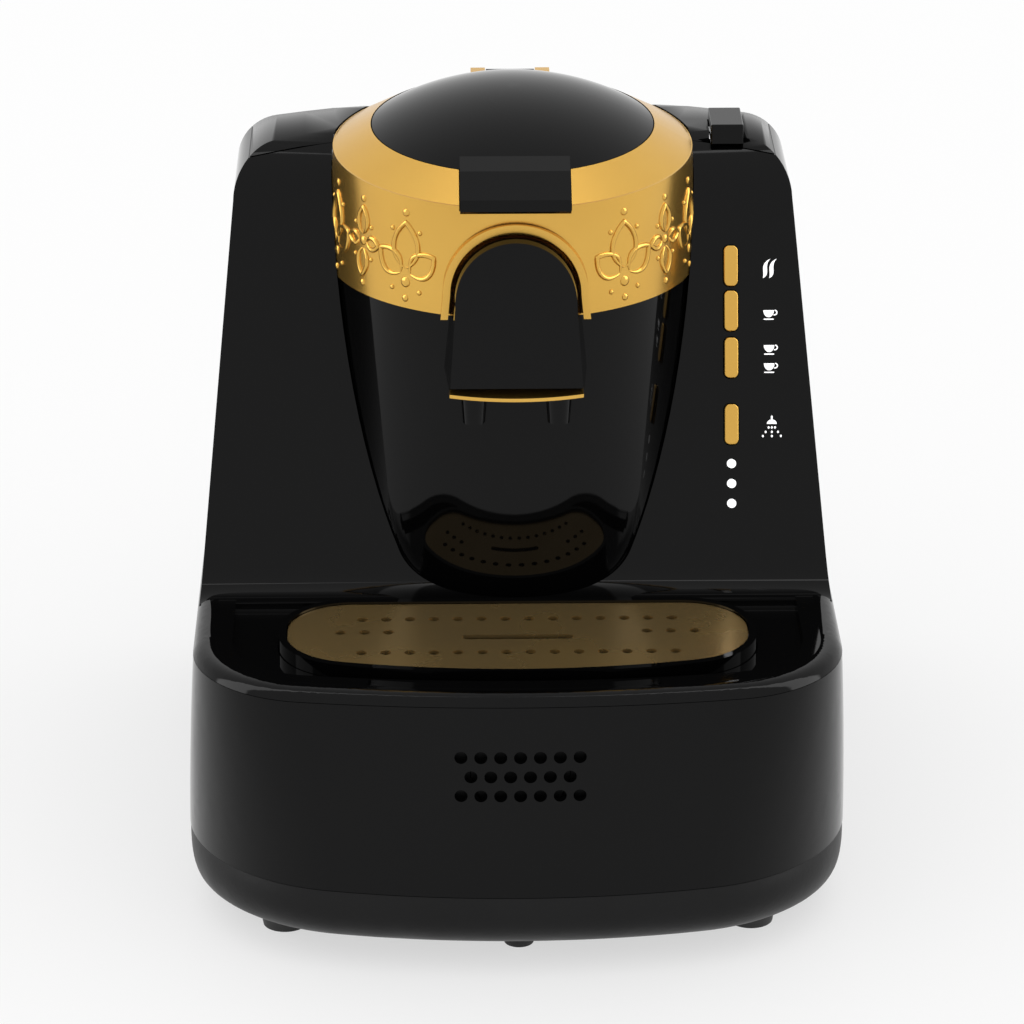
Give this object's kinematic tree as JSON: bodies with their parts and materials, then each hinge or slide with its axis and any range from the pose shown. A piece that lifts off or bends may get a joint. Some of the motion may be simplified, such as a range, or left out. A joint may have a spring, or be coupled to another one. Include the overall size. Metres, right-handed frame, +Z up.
{
  "type": "electric turkish coffee maker",
  "caption": "Counter-top electric turkish coffee maker with a hinged brew pot lid, spout over a drip tray, press buttons and a lift-out water tank.",
  "frame": {"origin": "on the table, under the middle of the machine's outer box", "axes": "+Z up, -Y out of the front with the spout and tray, +X to the right seen from the front"},
  "size_m": [0.221, 0.2803, 0.2597],
  "materials": {
    "gloss_black": "piano black, polished",
    "matte_black": "fine matt moulding",
    "gold_band": "gold plated, polished",
    "gold_sheet": "gold coated steel sheet, satin",
    "steel": "drawn stainless steel",
    "cast_aluminium": "as cast",
    "rubber": "soft matt",
    "silicone": "milky",
    "smoke_tank": "clear smoke plastic",
    "board": "solder resist",
    "metal_parts": "plain",
    "white_light": "light guides"
  },
  "bodies": {
    "machine": {"base_skirt": "gloss_black", "board_posts": "matte_black", "bottom_shell": "matte_black", "brew_lid_pin": "steel", "brew_pot": "steel", "column": "gloss_black", "control_board": "board", "cord_gland": "rubber", "deck_cover": "gloss_black", "feed_hose": "silicone", "foot_centre": "rubber", "foot_front_left": "rubber", "foot_front_right": "rubber", "foot_rear_left": "rubber", "foot_rear_right": "rubber", "gold_band": "gold_band", "heater": "cast_aluminium", "heater_carrier": "matte_black", "indicator_lights": "white_light", "key_switches": "matte_black", "main_board": "board", "nozzle_left": "gloss_black", "nozzle_right": "gloss_black", "pot_seat": "matte_black", "power_supply": "metal_parts", "pump": "metal_parts", "pump_bracket": "matte_black", "rear_housing": "gloss_black", "relays": "matte_black", "speaker": "matte_black", "speaker_bracket": "matte_black", "spout_bead": "gold_band", "spout_hood": "gloss_black", "spout_trim": "gold_band", "supply_hose": "silicone", "tank_bay": "matte_black", "thermostat": "steel"},
    "brew_lid": {"brew_lid": "gloss_black", "lid_seal": "rubber"},
    "tank": {"water_tank": "smoke_tank", "tank_valve": "smoke_tank", "tank_lid_pins": "steel"},
    "tank_lid": {"tank_lid": "gloss_black", "latch_grip": "gloss_black"},
    "tray": {"drip_tray": "gloss_black"},
    "plate": {"drip_plate": "gold_sheet"},
    "heat_button": {"heat_button": "gold_band"},
    "one_cup_button": {"one_cup_button": "gold_band"},
    "two_cup_button": {"two_cup_button": "gold_band"},
    "clean_button": {"clean_button": "gold_band"}
  },
  "joints": [
    {"name": "brew_lid_hinge", "type": "hinge", "parent": "machine", "child": "brew_lid", "pos_m": [0, 0.0622, 0.2463], "axis": [-1, 0, 0], "range_deg": [0, 80]},
    {"name": "tank_lift", "type": "slide", "parent": "machine", "child": "tank", "axis": [0, 0, 1], "range_m": [0, 0.11]},
    {"name": "tank_lid_hinge", "type": "hinge", "parent": "tank", "child": "tank_lid", "pos_m": [0, 0.131, 0.20113], "axis": [-1, 0, 0], "range_deg": [0, 70]},
    {"name": "tray_lift", "type": "slide", "parent": "machine", "child": "tray", "axis": [0, 0, 1], "range_m": [0, 0.03]},
    {"name": "plate_lift", "type": "slide", "parent": "tray", "child": "plate", "axis": [0, 0, 1], "range_m": [0, 0.03]},
    {"name": "heat_button_press", "type": "slide", "parent": "machine", "child": "heat_button", "axis": [0, 0.9397, -0.342], "range_m": [0, 0.0012], "stiffness_N_per_m": 500},
    {"name": "one_cup_button_press", "type": "slide", "parent": "machine", "child": "one_cup_button", "axis": [0, 0.9397, -0.342], "range_m": [0, 0.0012], "stiffness_N_per_m": 500},
    {"name": "two_cup_button_press", "type": "slide", "parent": "machine", "child": "two_cup_button", "axis": [0, 0.9397, -0.342], "range_m": [0, 0.0012], "stiffness_N_per_m": 500},
    {"name": "clean_button_press", "type": "slide", "parent": "machine", "child": "clean_button", "axis": [0, 0.9397, -0.342], "range_m": [0, 0.0012], "stiffness_N_per_m": 500}
  ]
}
